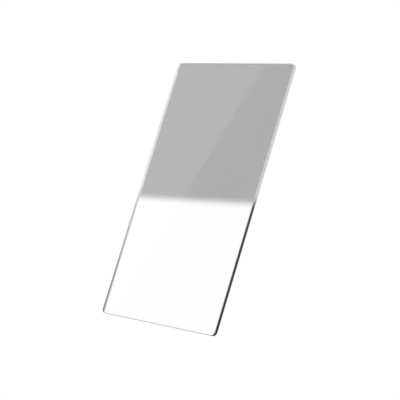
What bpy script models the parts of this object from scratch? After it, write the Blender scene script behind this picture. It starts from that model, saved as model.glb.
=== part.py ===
# Graduated neutral density filter for a slot-in filter holder: one plate of
# optical glass, ground and polished, with a grey coating over one half.
# Metres, +Z up. The plate lies flat with its coated face down. The origin is at the
# centre of the underside, and +Y points to the coated end.

import math

import bpy

# The plate
PLATE_WIDTH = 0.100
PLATE_LENGTH = 0.150
PLATE_THICKNESS = 0.002
CORNER_RADIUS = 0.0025
# Leg of the 45 degree bevel that is ground round both faces, so that no edge is sharp
ARRIS_LEG = 0.0002
# Flats in each rounded corner
CORNER_STEPS = 16

# The grey coating on the underside. It fades out a little below the middle of the
# plate, and leaves a bare strip along both long edges, where the plate is gripped.
FADE_MIDDLE_Y = -0.0049
FADE_LENGTH = 0.0068
FADE_SLANT = math.radians(2.0)
BARE_STRIP = 0.0012

GLASS_COLOUR = (0.97, 0.98, 0.97, 1.0)
COATING_COLOUR = (0.43, 0.43, 0.43, 1.0)
GLASS_IOR = 1.52

# The filled faces come loose from the rim, and meet it within this
WELD_DISTANCE = 0.00001


def clear_scene():
    for obj in list(bpy.data.objects):
        bpy.data.objects.remove(obj, do_unlink=True)


def new_collection(name):
    collection = bpy.data.collections.new(name)
    bpy.context.scene.collection.children.link(collection)
    return collection


def corner_arc(centre_x, centre_y, radius, first_angle, steps):
    """Points of a quarter circle, anticlockwise from first_angle."""
    points = []
    for step in range(steps + 1):
        angle = first_angle + math.pi / 2 * step / steps
        points.append(
            (centre_x + radius * math.cos(angle), centre_y + radius * math.sin(angle))
        )
    return points


def rounded_rectangle(width, length, radius, steps):
    """Outline about the origin, anticlockwise from the upper end of the +X side."""
    reach_x = width / 2 - radius
    reach_y = length / 2 - radius
    outline = []
    for quarter, (side_x, side_y) in enumerate([(1, 1), (-1, 1), (-1, -1), (1, -1)]):
        outline += corner_arc(
            side_x * reach_x, side_y * reach_y, radius, quarter * math.pi / 2, steps
        )
    return outline


def add_node(nodes, kind, inputs=None, **settings):
    """A shader node with its settings, and its inputs set or linked."""
    node = nodes.new(kind)
    for name, value in settings.items():
        setattr(node, name, value)
    for socket, value in (inputs or {}).items():
        if isinstance(value, bpy.types.NodeSocket):
            node.id_data.links.new(value, node.inputs[socket])
        else:
            node.inputs[socket].default_value = value
    return node


def graduated_glass():
    """Clear glass that turns grey across the fade line, between the bare strips."""
    material = bpy.data.materials.new("graduated_glass")
    material.use_nodes = True
    nodes = material.node_tree.nodes
    principled = nodes["Principled BSDF"]
    principled.inputs["Roughness"].default_value = 0.0
    principled.inputs["Metallic"].default_value = 0.0
    principled.inputs["IOR"].default_value = GLASS_IOR
    principled.inputs["Transmission Weight"].default_value = 1.0

    place = add_node(nodes, "ShaderNodeTexCoord")
    turned = add_node(
        nodes,
        "ShaderNodeMapping",
        {
            "Vector": place.outputs["Object"],
            "Location": (0.0, -FADE_MIDDLE_Y, 0.0),
            "Rotation": (0.0, 0.0, -FADE_SLANT),
        },
    )
    along = add_node(nodes, "ShaderNodeSeparateXYZ", {"Vector": turned.outputs["Vector"]})
    fade = add_node(
        nodes,
        "ShaderNodeMapRange",
        {
            "Value": along.outputs["Y"],
            "From Min": -FADE_LENGTH / 2,
            "From Max": FADE_LENGTH / 2,
        },
        interpolation_type="SMOOTHSTEP",
    )
    across = add_node(nodes, "ShaderNodeSeparateXYZ", {"Vector": place.outputs["Object"]})
    off_centre = add_node(
        nodes, "ShaderNodeMath", {0: across.outputs["X"]}, operation="ABSOLUTE"
    )
    between_strips = add_node(
        nodes,
        "ShaderNodeMath",
        {0: off_centre.outputs["Value"], 1: PLATE_WIDTH / 2 - BARE_STRIP},
        operation="LESS_THAN",
    )
    coated = add_node(
        nodes,
        "ShaderNodeMath",
        {0: fade.outputs["Result"], 1: between_strips.outputs["Value"]},
        operation="MULTIPLY",
    )
    colour = add_node(
        nodes,
        "ShaderNodeMix",
        {0: coated.outputs["Value"], 6: GLASS_COLOUR, 7: COATING_COLOUR},
        data_type="RGBA",
    )
    material.node_tree.links.new(colour.outputs[2], principled.inputs["Base Color"])
    return material


def filter_plate(collection):
    """The glass plate, from the outline of its polished faces. The curve's own bevel
    leads from there out to the rim, as the two ground arrises do."""
    curve = bpy.data.curves.new("filter_plate", "CURVE")
    curve.dimensions = "2D"
    curve.fill_mode = "BOTH"
    curve.extrude = PLATE_THICKNESS / 2 - ARRIS_LEG
    curve.bevel_depth = ARRIS_LEG
    curve.bevel_resolution = 0
    outline = rounded_rectangle(
        PLATE_WIDTH - 2 * ARRIS_LEG,
        PLATE_LENGTH - 2 * ARRIS_LEG,
        CORNER_RADIUS - ARRIS_LEG,
        CORNER_STEPS,
    )
    spline = curve.splines.new("POLY")
    spline.points.add(len(outline) - 1)
    for point, (x, y) in zip(spline.points, outline):
        point.co = (x, y, 0.0, 1.0)
    spline.use_cyclic_u = True

    plate = bpy.data.objects.new("filter_plate", curve)
    collection.objects.link(plate)
    plate.location.z = PLATE_THICKNESS / 2

    weld = plate.modifiers.new("close_the_faces", "WELD")
    weld.merge_threshold = WELD_DISTANCE

    curve.materials.append(graduated_glass())
    return plate


clear_scene()
filter_plate(new_collection("graduated_filter"))
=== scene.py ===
import math

import bpy
from mathutils import Matrix, Vector


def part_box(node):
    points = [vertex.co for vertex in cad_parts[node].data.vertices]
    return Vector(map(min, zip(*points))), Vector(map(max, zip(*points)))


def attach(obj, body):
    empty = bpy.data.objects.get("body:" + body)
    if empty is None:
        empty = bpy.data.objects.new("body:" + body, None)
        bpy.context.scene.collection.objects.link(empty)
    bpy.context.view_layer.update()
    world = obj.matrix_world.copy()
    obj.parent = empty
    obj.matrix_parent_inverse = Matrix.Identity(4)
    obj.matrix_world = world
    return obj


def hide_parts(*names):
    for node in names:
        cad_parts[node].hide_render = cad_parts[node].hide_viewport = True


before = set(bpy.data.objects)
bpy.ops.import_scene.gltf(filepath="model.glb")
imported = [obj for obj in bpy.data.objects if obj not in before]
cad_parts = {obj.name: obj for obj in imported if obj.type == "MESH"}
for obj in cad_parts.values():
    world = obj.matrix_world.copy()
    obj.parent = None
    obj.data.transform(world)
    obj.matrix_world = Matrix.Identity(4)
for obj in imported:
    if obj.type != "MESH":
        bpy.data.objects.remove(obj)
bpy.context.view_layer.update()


# The coated underside
#
# A vacuum-deposited metal coating makes the far face of the plate grey without a cast.
# It lets a quarter of the light through and mirrors some of the rest, and it fades out just
# below the middle. Along the long edges, where the jig held the plate, a dull strip is bare.

PLATE_LOW, PLATE_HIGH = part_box("filter_plate")
THICKNESS = PLATE_HIGH.z - PLATE_LOW.z
FADE_MIDDLE_Y = -0.0049
FADE_LENGTH = 0.0068
FADE_SLANT = math.radians(2.0)
BARE_STRIP = 0.0012
BARE_STRIP_BLUR = 0.0004
# The coating thins out at the very end of the grey half, so that it doesn't mirror the rim
COATING_THINS_OVER = 0.0005
GLASS_IOR = 1.52
COATING_METALLIC = 0.5
WHITE = (1.0, 1.0, 1.0, 1.0)


def linear(srgb_hex):
    """Linear RGBA of an sRGB hex colour."""
    levels = [int(srgb_hex[at:at + 2], 16) / 255 for at in (1, 3, 5)]
    return [((v + 0.055) / 1.055) ** 2.4 if v > 0.04045 else v / 12.92 for v in levels] + [1.0]


def add_node(tree, kind, inputs=None, **settings):
    """A node with its settings, and with each input linked to a socket or set to a value.

    A Mix node's sockets go by number. 0 is the factor, 2 and 3 are its two plain values, and
    6 and 7 its two colours. A mixed value comes out at 0 and a mixed colour at 2.
    """
    node = tree.nodes.new(kind)
    for name, value in settings.items():
        setattr(node, name, value)
    for socket, value in (inputs or {}).items():
        if isinstance(value, bpy.types.NodeSocket):
            tree.links.new(value, node.inputs[socket])
        else:
            node.inputs[socket].default_value = value
    return node


def new_material(name):
    """A material with its node tree, and the tree's Principled BSDF and output."""
    material = bpy.data.materials.new(name)
    material.use_nodes = True
    tree = material.node_tree
    return material, tree, tree.nodes["Principled BSDF"], tree.nodes["Material Output"]


def above_the_fade(tree, raised_by=0.0):
    """Distance from the middle of the slanting fade line, positive in the grey half."""
    place = add_node(tree, "ShaderNodeTexCoord")
    turned = add_node(tree, "ShaderNodeMapping", {
        "Vector": place.outputs["Object"],
        "Location": (0.0, -(FADE_MIDDLE_Y + raised_by), 0.0),
        "Rotation": (0.0, 0.0, -FADE_SLANT),
    })
    return add_node(tree, "ShaderNodeSeparateXYZ", {"Vector": turned.outputs["Vector"]}).outputs["Y"]


def let_light_through(tree, glass, output, tint):
    """Let light pass the glass unbent, so that its shadow is no darker than this tint."""
    path = add_node(tree, "ShaderNodeLightPath")
    clear = add_node(tree, "ShaderNodeBsdfTransparent", {"Color": tint})
    mixed = add_node(tree, "ShaderNodeMixShader", {
        0: path.outputs["Is Shadow Ray"], 1: glass.outputs["BSDF"], 2: clear.outputs["BSDF"],
    })
    tree.links.new(mixed.outputs["Shader"], output.inputs["Surface"])


def coated_underside():
    """Optical glass with the graduated coating, seen through the plate or from below."""
    material, tree, glass, output = new_material("graduated_coating")
    glass.inputs["Roughness"].default_value = 0.0
    glass.inputs["IOR"].default_value = GLASS_IOR
    glass.inputs["Transmission Weight"].default_value = 1.0

    fade = add_node(tree, "ShaderNodeMapRange", {
        "Value": above_the_fade(tree),
        "From Min": -FADE_LENGTH / 2,
        "From Max": FADE_LENGTH / 2,
    }, interpolation_type="SMOOTHSTEP")
    place = add_node(tree, "ShaderNodeTexCoord")
    across = add_node(tree, "ShaderNodeSeparateXYZ", {"Vector": place.outputs["Object"]})
    off_centre = add_node(tree, "ShaderNodeMath", {0: across.outputs["X"]}, operation="ABSOLUTE")
    coat_reach = PLATE_HIGH.x - BARE_STRIP
    between_strips = add_node(tree, "ShaderNodeMapRange", {
        "Value": off_centre.outputs["Value"],
        "From Min": coat_reach + BARE_STRIP_BLUR / 2,
        "From Max": coat_reach - BARE_STRIP_BLUR / 2,
    }, interpolation_type="SMOOTHSTEP")
    thinning = add_node(tree, "ShaderNodeMapRange", {
        "Value": across.outputs["Y"],
        "From Min": PLATE_HIGH.y,
        "From Max": PLATE_HIGH.y - COATING_THINS_OVER,
    })
    whole_coat = add_node(tree, "ShaderNodeMath", {
        0: fade.outputs["Result"], 1: between_strips.outputs["Result"],
    }, operation="MULTIPLY")
    coat = add_node(tree, "ShaderNodeMath", {
        0: whole_coat.outputs["Value"], 1: thinning.outputs["Result"],
    }, operation="MULTIPLY")

    # The bare strip is duller towards the clear end
    towards_the_end = add_node(tree, "ShaderNodeMapRange", {
        "Value": across.outputs["Y"], "From Min": FADE_MIDDLE_Y, "From Max": PLATE_LOW.y,
    })
    strip = add_node(tree, "ShaderNodeMix", {
        0: towards_the_end.outputs["Result"], 6: linear("#E0E0E0"), 7: linear("#BCBCBC"),
    }, data_type="RGBA")
    bare = add_node(tree, "ShaderNodeMix", {
        0: between_strips.outputs["Result"], 6: strip.outputs[2], 7: WHITE,
    }, data_type="RGBA")

    # The shader tints what passes by the square root of its colour, so the colour is the
    # square of the tint
    tint = add_node(tree, "ShaderNodeMix", {
        0: coat.outputs["Value"], 6: bare.outputs[2], 7: linear("#C0C0C0"),
    }, data_type="RGBA")
    colour = add_node(tree, "ShaderNodeGamma", {"Color": tint.outputs[2], "Gamma": 2.0})
    metal = add_node(tree, "ShaderNodeMath", {
        0: coat.outputs["Value"], 1: COATING_METALLIC,
    }, operation="MULTIPLY")
    tree.links.new(colour.outputs["Color"], glass.inputs["Base Color"])
    tree.links.new(metal.outputs["Value"], glass.inputs["Metallic"])
    passed = add_node(tree, "ShaderNodeMix", {
        0: coat.outputs["Value"], 6: bare.outputs[2], 7: linear("#8F8F8F"),
    }, data_type="RGBA")
    let_light_through(tree, glass, output, passed.outputs[2])
    return material


# The polished front face
#
# Optical glass, lapped and polished until nothing of the grinding is left. It also has an
# anti-reflection coating, which takes away the white sheen that bare glass would show.

def polished_front():
    """Clear glass that mirrors next to nothing."""
    material, tree, glass, output = new_material("anti_reflection_glass")
    glass.inputs["Base Color"].default_value = WHITE
    glass.inputs["Roughness"].default_value = 0.0
    glass.inputs["IOR"].default_value = GLASS_IOR
    glass.inputs["Specular Tint"].default_value = linear("#1C1C1C")
    glass.inputs["Transmission Weight"].default_value = 1.0
    let_light_through(tree, glass, output, WHITE)
    return material


# The ground edges
#
# All four sides and the narrow arrises are ground with a fine wheel and left matt. Beside
# the grey half they are painted pale, as painted light, and scatter light through. Beside the
# clear half they are painted nearly black, as painted shade, apart from the front arris with
# its painted highlight, and painted light from the pale half runs on a little along them.

ARRIS = 0.0002
# The edges' painted paleness comes on over a longer stretch than the coating does, and a little
# higher up
EDGE_FADE_RAISED = 0.002
EDGE_FADE_LENGTH = 0.010
# How far in from the left edge its paler painted light, longer painted run and greater translucency
# reach, round the corners
LEFT_REACH = 0.004
# The share of the light that the pale side lets through
LEFT_TRANSLUCENCY, OTHER_TRANSLUCENCY = 0.7, 0.4
# The share of the painted light that runs on past the fade, and how far it goes before it
# has fallen to about a third
LEFT_PAINTED_SHARE, OTHER_PAINTED_SHARE = 0.84, 0.07
LEFT_RUN, OTHER_RUN = 0.094, 0.022
# The real grit leaves marks of about 0.04 mm. They are drawn coarser, so that they show.
GRIT = 0.00025
GRIT_DEPTH = 0.00002
GRIT_STRENGTH = 0.4
GRIT_DETAIL = 2.0
SMOOTHEST, ROUGHEST = 0.4, 0.6


def ground_edge():
    """Fine ground glass with painted light and shade. The left edge is painted paler, lets more
    light through, and its painted light runs further.
    """
    material, tree, ground, output = new_material("fine_ground_glass")
    ground.inputs["IOR"].default_value = GLASS_IOR
    place = add_node(tree, "ShaderNodeTexCoord").outputs["Object"]
    at = add_node(tree, "ShaderNodeSeparateXYZ", {"Vector": place})
    off_left = add_node(tree, "ShaderNodeMapRange", {
        "Value": at.outputs["X"], "From Min": PLATE_LOW.x, "From Max": PLATE_LOW.x + LEFT_REACH,
    }).outputs["Result"]
    run, share, translucency = (
        add_node(tree, "ShaderNodeMapRange", {
            "Value": off_left, "To Min": at_left, "To Max": elsewhere,
        }).outputs["Result"]
        for at_left, elsewhere in (
            (LEFT_RUN, OTHER_RUN),
            (LEFT_PAINTED_SHARE, OTHER_PAINTED_SHARE),
            (LEFT_TRANSLUCENCY, OTHER_TRANSLUCENCY),
        )
    )
    above = above_the_fade(tree, EDGE_FADE_RAISED)
    beside_grey = add_node(tree, "ShaderNodeMapRange", {
        "Value": above, "From Min": -EDGE_FADE_LENGTH / 2, "From Max": EDGE_FADE_LENGTH / 2,
    }, interpolation_type="SMOOTHSTEP").outputs["Result"]

    # The side: painted pale light beside the grey half, then painted light that runs on and dies
    # away along the edge, and painted near-black shade beyond
    # Painted light: it fades along the edge by an exponential fall-off
    runs = add_node(tree, "ShaderNodeMath", {0: above, 1: run}, operation="DIVIDE")
    dying = add_node(tree, "ShaderNodeMath", {0: runs.outputs["Value"]}, operation="EXPONENT")
    painted_run_on = add_node(tree, "ShaderNodeMath", {
        0: dying.outputs["Value"], 1: share,
    }, operation="MULTIPLY")
    painted_paleness = add_node(tree, "ShaderNodeMix", {
        0: beside_grey, 2: painted_run_on.outputs["Value"], 3: 1.0,
    }, data_type="FLOAT")
    # Painted light: the left edge is painted paler than the others
    pale = add_node(tree, "ShaderNodeMix", {
        0: off_left, 6: linear("#FCFCFC"), 7: linear("#F5F5F1"),
    }, data_type="RGBA")
    # Painted shade, near black, mixed with the painted pale light
    side = add_node(tree, "ShaderNodeMix", {
        0: painted_paleness.outputs[0], 6: linear("#060606"), 7: pale.outputs[2],
    }, data_type="RGBA")

    # The front arris, with a painted highlight all the way round for the light it would catch from
    # above
    on_arris = add_node(tree, "ShaderNodeMath", {
        0: at.outputs["Z"], 1: THICKNESS - ARRIS,
    }, operation="GREATER_THAN").outputs["Value"]
    colour = add_node(tree, "ShaderNodeMix", {
        0: on_arris, 6: side.outputs[2], 7: linear("#CACAC6"),
    }, data_type="RGBA")
    tree.links.new(colour.outputs[2], ground.inputs["Base Color"])

    # The grit's marks, in the surface and in how matt it is
    grit = add_node(tree, "ShaderNodeTexNoise", {
        "Vector": place, "Scale": 1 / GRIT, "Detail": GRIT_DETAIL,
    })
    roughness = add_node(tree, "ShaderNodeMapRange", {
        "Value": grit.outputs["Fac"], "To Min": SMOOTHEST, "To Max": ROUGHEST,
    })
    marks = add_node(tree, "ShaderNodeBump", {
        "Strength": GRIT_STRENGTH, "Distance": GRIT_DEPTH, "Height": grit.outputs["Fac"],
    })
    tree.links.new(roughness.outputs["Result"], ground.inputs["Roughness"])
    tree.links.new(marks.outputs["Normal"], ground.inputs["Normal"])

    # The paler the painted side, the more light it lets through, scattered. The front arris lets
    # none.
    pale_side = add_node(tree, "ShaderNodeMix", {
        0: on_arris, 2: painted_paleness.outputs[0], 3: 0.0,
    }, data_type="FLOAT")
    through = add_node(tree, "ShaderNodeMath", {
        0: pale_side.outputs[0], 1: translucency,
    }, operation="MULTIPLY")
    scattered = add_node(tree, "ShaderNodeBsdfTranslucent", {
        "Color": colour.outputs[2], "Normal": marks.outputs["Normal"],
    })
    mixed = add_node(tree, "ShaderNodeMixShader", {
        0: through.outputs["Value"], 1: ground.outputs["BSDF"], 2: scattered.outputs["BSDF"],
    })
    tree.links.new(mixed.outputs["Shader"], output.inputs["Surface"])
    return material


# The plate
#
# One sheet of glass, cut to size, its corners rounded and its edges ground to a narrow
# arris on both faces. The rim's section runs round the outline, and two faces close it.

CORNER_RADIUS = 0.0025
ARRIS_SOFTENING = 0.00006
CORNER_STEPS = 24
SOFTENING_STEPS = 3
# The faces meet the rim within this
WELD_DISTANCE = 0.000001
# A polished face's normal points straight up or down to within this
FACE_UPRIGHTNESS = 0.999


def plate_tree(front, underside, edge):
    """Nodes that make the plate from its sizes and give each surface its finish."""
    tree = bpy.data.node_groups.new("ground_plate", "GeometryNodeTree")
    for name in ("Width", "Length", "Thickness", "Corner Radius", "Arris", "Arris Softening"):
        tree.interface.new_socket(name, in_out="INPUT", socket_type="NodeSocketFloat")
    tree.interface.new_socket("Corner Steps", in_out="INPUT", socket_type="NodeSocketInt")
    tree.interface.new_socket("Plate", in_out="OUTPUT", socket_type="NodeSocketGeometry")
    size = add_node(tree, "NodeGroupInput").outputs

    # Outline of the polished faces: the arris comes off both ends of each side, and once
    # off the corner's radius
    whole = add_node(tree, "ShaderNodeCombineXYZ", {
        "X": size["Width"], "Y": size["Length"], "Z": size["Corner Radius"],
    })
    times_off = (2.0, 2.0, 1.0)
    ground_off = add_node(tree, "ShaderNodeVectorMath", {
        0: times_off, "Scale": size["Arris"],
    }, operation="SCALE")
    left = add_node(tree, "ShaderNodeVectorMath", {
        0: whole.outputs["Vector"], 1: ground_off.outputs["Vector"],
    }, operation="SUBTRACT")
    face_size = add_node(tree, "ShaderNodeSeparateXYZ", {"Vector": left.outputs["Vector"]})
    rectangle = add_node(tree, "GeometryNodeCurvePrimitiveQuadrilateral", {
        "Width": face_size.outputs["X"], "Height": face_size.outputs["Y"],
    })
    outline = add_node(tree, "GeometryNodeFilletCurve", {
        "Curve": rectangle.outputs["Curve"],
        "Count": size["Corner Steps"],
        "Radius": face_size.outputs["Z"],
        "Limit Radius": True,
    }, mode="POLY")

    # Section of the rim: out along the lower arris, up the side, and in along the upper one.
    # In this order the rim's faces point outwards.
    half = add_node(tree, "ShaderNodeMath", {0: size["Thickness"], 1: 0.5}, operation="MULTIPLY")
    side_half = add_node(tree, "ShaderNodeMath", {
        0: half.outputs["Value"], 1: size["Arris"],
    }, operation="SUBTRACT")
    inner = add_node(tree, "ShaderNodeCombineXYZ", {"Y": half.outputs["Value"]})
    outer = add_node(tree, "ShaderNodeCombineXYZ", {
        "X": size["Arris"], "Y": side_half.outputs["Value"],
    })
    turned_over = (1.0, -1.0, 1.0)
    lower_outer = add_node(tree, "ShaderNodeVectorMath", {
        0: outer.outputs["Vector"], 1: turned_over,
    }, operation="MULTIPLY")
    lower_inner = add_node(tree, "ShaderNodeVectorMath", {
        0: inner.outputs["Vector"], 1: turned_over,
    }, operation="MULTIPLY")
    section = add_node(tree, "GeometryNodeCurvePrimitiveQuadrilateral", {
        "Point 1": lower_inner.outputs["Vector"],
        "Point 2": lower_outer.outputs["Vector"],
        "Point 3": outer.outputs["Vector"],
        "Point 4": inner.outputs["Vector"],
    }, mode="POINTS")
    open_section = add_node(tree, "GeometryNodeSetSplineCyclic", {
        "Geometry": section.outputs["Curve"], "Cyclic": False,
    })
    softened = add_node(tree, "GeometryNodeFilletCurve", {
        "Curve": open_section.outputs["Geometry"],
        "Count": SOFTENING_STEPS,
        "Radius": size["Arris Softening"],
        "Limit Radius": True,
    }, mode="POLY")
    rim = add_node(tree, "GeometryNodeCurveToMesh", {
        "Curve": outline.outputs["Curve"], "Profile Curve": softened.outputs["Curve"],
    })
    to_the_middle = add_node(tree, "ShaderNodeCombineXYZ", {"Z": half.outputs["Value"]})
    rim_in_place = add_node(tree, "GeometryNodeTransform", {
        "Geometry": rim.outputs["Mesh"], "Translation": to_the_middle.outputs["Vector"],
    })
    smooth_rim = add_node(tree, "GeometryNodeSetShadeSmooth", {
        "Geometry": rim_in_place.outputs["Geometry"], "Shade Smooth": True,
    })

    # The two polished faces
    face = add_node(tree, "GeometryNodeFillCurve", {"Curve": outline.outputs["Curve"]}, mode="NGONS")
    flat_face = add_node(tree, "GeometryNodeSetShadeSmooth", {
        "Geometry": face.outputs["Mesh"], "Shade Smooth": False,
    })
    to_the_top = add_node(tree, "ShaderNodeCombineXYZ", {"Z": size["Thickness"]})
    front_face = add_node(tree, "GeometryNodeTransform", {
        "Geometry": flat_face.outputs["Geometry"], "Translation": to_the_top.outputs["Vector"],
    })
    under_face = add_node(tree, "GeometryNodeFlipFaces", {"Mesh": flat_face.outputs["Geometry"]})

    joined = add_node(tree, "GeometryNodeJoinGeometry")
    for part in (
        under_face.outputs["Mesh"],
        front_face.outputs["Geometry"],
        smooth_rim.outputs["Geometry"],
    ):
        tree.links.new(part, joined.inputs["Geometry"])
    closed = add_node(tree, "GeometryNodeMergeByDistance", {
        "Geometry": joined.outputs["Geometry"], "Distance": WELD_DISTANCE,
    })
    real = add_node(tree, "GeometryNodeRealizeInstances", {"Geometry": closed.outputs["Geometry"]})

    # The edge's finish goes on everything, and the faces' finishes over it
    normal = add_node(tree, "GeometryNodeInputNormal")
    facing = add_node(tree, "ShaderNodeSeparateXYZ", {"Vector": normal.outputs["Normal"]})
    faces_up = add_node(tree, "ShaderNodeMath", {
        0: facing.outputs["Z"], 1: FACE_UPRIGHTNESS,
    }, operation="GREATER_THAN")
    faces_down = add_node(tree, "ShaderNodeMath", {
        0: facing.outputs["Z"], 1: -FACE_UPRIGHTNESS,
    }, operation="LESS_THAN")
    geometry = real.outputs["Geometry"]
    for material, chosen in (
        (edge, True),
        (front, faces_up.outputs["Value"]),
        (underside, faces_down.outputs["Value"]),
    ):
        geometry = add_node(tree, "GeometryNodeSetMaterial", {
            "Geometry": geometry, "Selection": chosen, "Material": material,
        }).outputs["Geometry"]
    add_node(tree, "NodeGroupOutput", {"Plate": geometry})
    return tree


def built_plate(tree, sizes):
    """The tree's plate as a plain mesh."""
    plate = bpy.data.objects.new("graduated_plate", bpy.data.meshes.new("graduated_plate"))
    bpy.context.scene.collection.objects.link(plate)
    modifier = plate.modifiers.new("ground_plate", "NODES")
    modifier.node_group = tree
    for socket in tree.interface.items_tree:
        if socket.in_out == "INPUT":
            modifier[socket.identifier] = sizes[socket.name]
    graph = bpy.context.evaluated_depsgraph_get()
    mesh = bpy.data.meshes.new_from_object(plate.evaluated_get(graph))
    plate.modifiers.remove(modifier)
    plate.data = mesh
    return plate


plate = built_plate(plate_tree(polished_front(), coated_underside(), ground_edge()), {
    "Width": PLATE_HIGH.x - PLATE_LOW.x,
    "Length": PLATE_HIGH.y - PLATE_LOW.y,
    "Thickness": THICKNESS,
    "Corner Radius": CORNER_RADIUS,
    "Arris": ARRIS,
    "Arris Softening": ARRIS_SOFTENING,
    "Corner Steps": CORNER_STEPS,
})
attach(plate, "root")
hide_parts("filter_plate")


# The floor
#
# Plain white paper, just under the plate. It shows as white to the camera and through
# the glass, and what is left of its own surface keeps the plate's faint shadow.

FLOOR_SIZE = 40.0
FLOOR_GAP = 0.0003
FLOOR_WHITE_SHARE = 0.98


def white_floor():
    """Matt paper that shows as plain white wherever it is seen, mirrored or through glass."""
    material, tree, paper, output = new_material("white_paper")
    paper.inputs["Base Color"].default_value = linear("#F4F4F4")
    paper.inputs["Roughness"].default_value = 1.0
    paper.inputs["Specular IOR Level"].default_value = 0.0
    white = add_node(tree, "ShaderNodeEmission", {"Strength": 1.0})
    path = add_node(tree, "ShaderNodeLightPath")
    seen = path.outputs["Is Camera Ray"]
    for kind in ("Is Glossy Ray", "Is Transmission Ray"):
        seen = add_node(
            tree, "ShaderNodeMath", {0: seen, 1: path.outputs[kind]}, operation="MAXIMUM"
        ).outputs["Value"]
    share = add_node(tree, "ShaderNodeMath", {0: seen, 1: FLOOR_WHITE_SHARE}, operation="MULTIPLY")
    mixed = add_node(tree, "ShaderNodeMixShader", {
        0: share.outputs["Value"], 1: paper.outputs["BSDF"], 2: white.outputs["Emission"],
    })
    tree.links.new(mixed.outputs["Shader"], output.inputs["Surface"])
    return material


reach = FLOOR_SIZE / 2
corners = ((-reach, -reach), (reach, -reach), (reach, reach), (-reach, reach))
floor_mesh = bpy.data.meshes.new("floor")
floor_mesh.from_pydata([(x, y, -FLOOR_GAP) for x, y in corners], [], [(0, 1, 2, 3)])
floor_mesh.materials.append(white_floor())
floor = bpy.data.objects.new("floor", floor_mesh)
bpy.context.scene.collection.objects.link(floor)


# The camera
#
# A long lens on the usual 36 mm sensor, 0.89 m away, looking down on the plate's middle. It is
# rolled as the photograph is, where the plate stands upright.

CAMERA_AT = Vector((0.69207, -0.13287, 0.53949))
CAMERA_AIM = Vector((0.00379, -0.00384, 0.0))
CAMERA_ROLL = math.radians(-66.665)
LENS = 146.34

camera_data = bpy.data.cameras.new("camera")
camera_data.lens = LENS
camera = bpy.data.objects.new("camera", camera_data)
unrolled = (CAMERA_AT - CAMERA_AIM).to_track_quat("Z", "Y").to_matrix().to_4x4()
camera.matrix_world = (
    Matrix.Translation(CAMERA_AT) @ unrolled @ Matrix.Rotation(CAMERA_ROLL, 4, "Z")
)
bpy.context.scene.collection.objects.link(camera)
bpy.context.scene.camera = camera


# The studio
#
# A white tent lights the plate evenly from all round. One softbox stands off to its left,
# and the coating mirrors the box's upper edge as a faint line across the grey half.

# How much the softbox adds to the tent's white, matched to the line in the photograph
SOFTBOX_LEVEL = 0.21
SOFTBOX_WIDTH = 0.7
SOFTBOX_AWAY = 0.9
# Where on the front face the camera sees the softbox's edge
EDGE_SEEN_FROM = Vector((-0.0066, 0.0, THICKNESS))
EDGE_SEEN_TO = Vector((0.0269, 0.075, THICKNESS))

tent = bpy.data.worlds.new("tent")
tent.use_nodes = True
tent.node_tree.nodes["Background"].inputs["Color"].default_value = WHITE
bpy.context.scene.world = tent


def mirrored_place(point):
    """Where the camera's ray to this point ends up, bent into the glass and mirrored below."""
    ray = (point - CAMERA_AT).normalized()
    level = Vector((ray.x, ray.y, 0.0))
    drift = level / math.sqrt(GLASS_IOR ** 2 - level.length_squared)
    leaves_at = point + 2 * THICKNESS * drift
    return leaves_at + Vector((ray.x, ray.y, -ray.z)) * SOFTBOX_AWAY


# The softbox's edge, and its axes from there. It shines along its -Z, towards the plate.
edge_low, edge_high = mirrored_place(EDGE_SEEN_FROM), mirrored_place(EDGE_SEEN_TO)
along = (edge_high - edge_low).normalized()
lit_side = (edge_low - EDGE_SEEN_FROM).cross(along).normalized()
from_plate = along.cross(lit_side)
softbox_data = bpy.data.lights.new("softbox", "AREA")
softbox_data.shape = "SQUARE"
softbox_data.size = SOFTBOX_WIDTH
softbox_data.energy = SOFTBOX_LEVEL * math.pi * SOFTBOX_WIDTH ** 2
softbox = bpy.data.objects.new("softbox", softbox_data)
softbox.matrix_world = Matrix.Translation(
    (edge_low + edge_high) / 2 + lit_side * SOFTBOX_WIDTH / 2
) @ Matrix((-lit_side, along, from_plate)).transposed().to_4x4()
bpy.context.scene.collection.objects.link(softbox)

bpy.context.scene.view_settings.view_transform = "Standard"
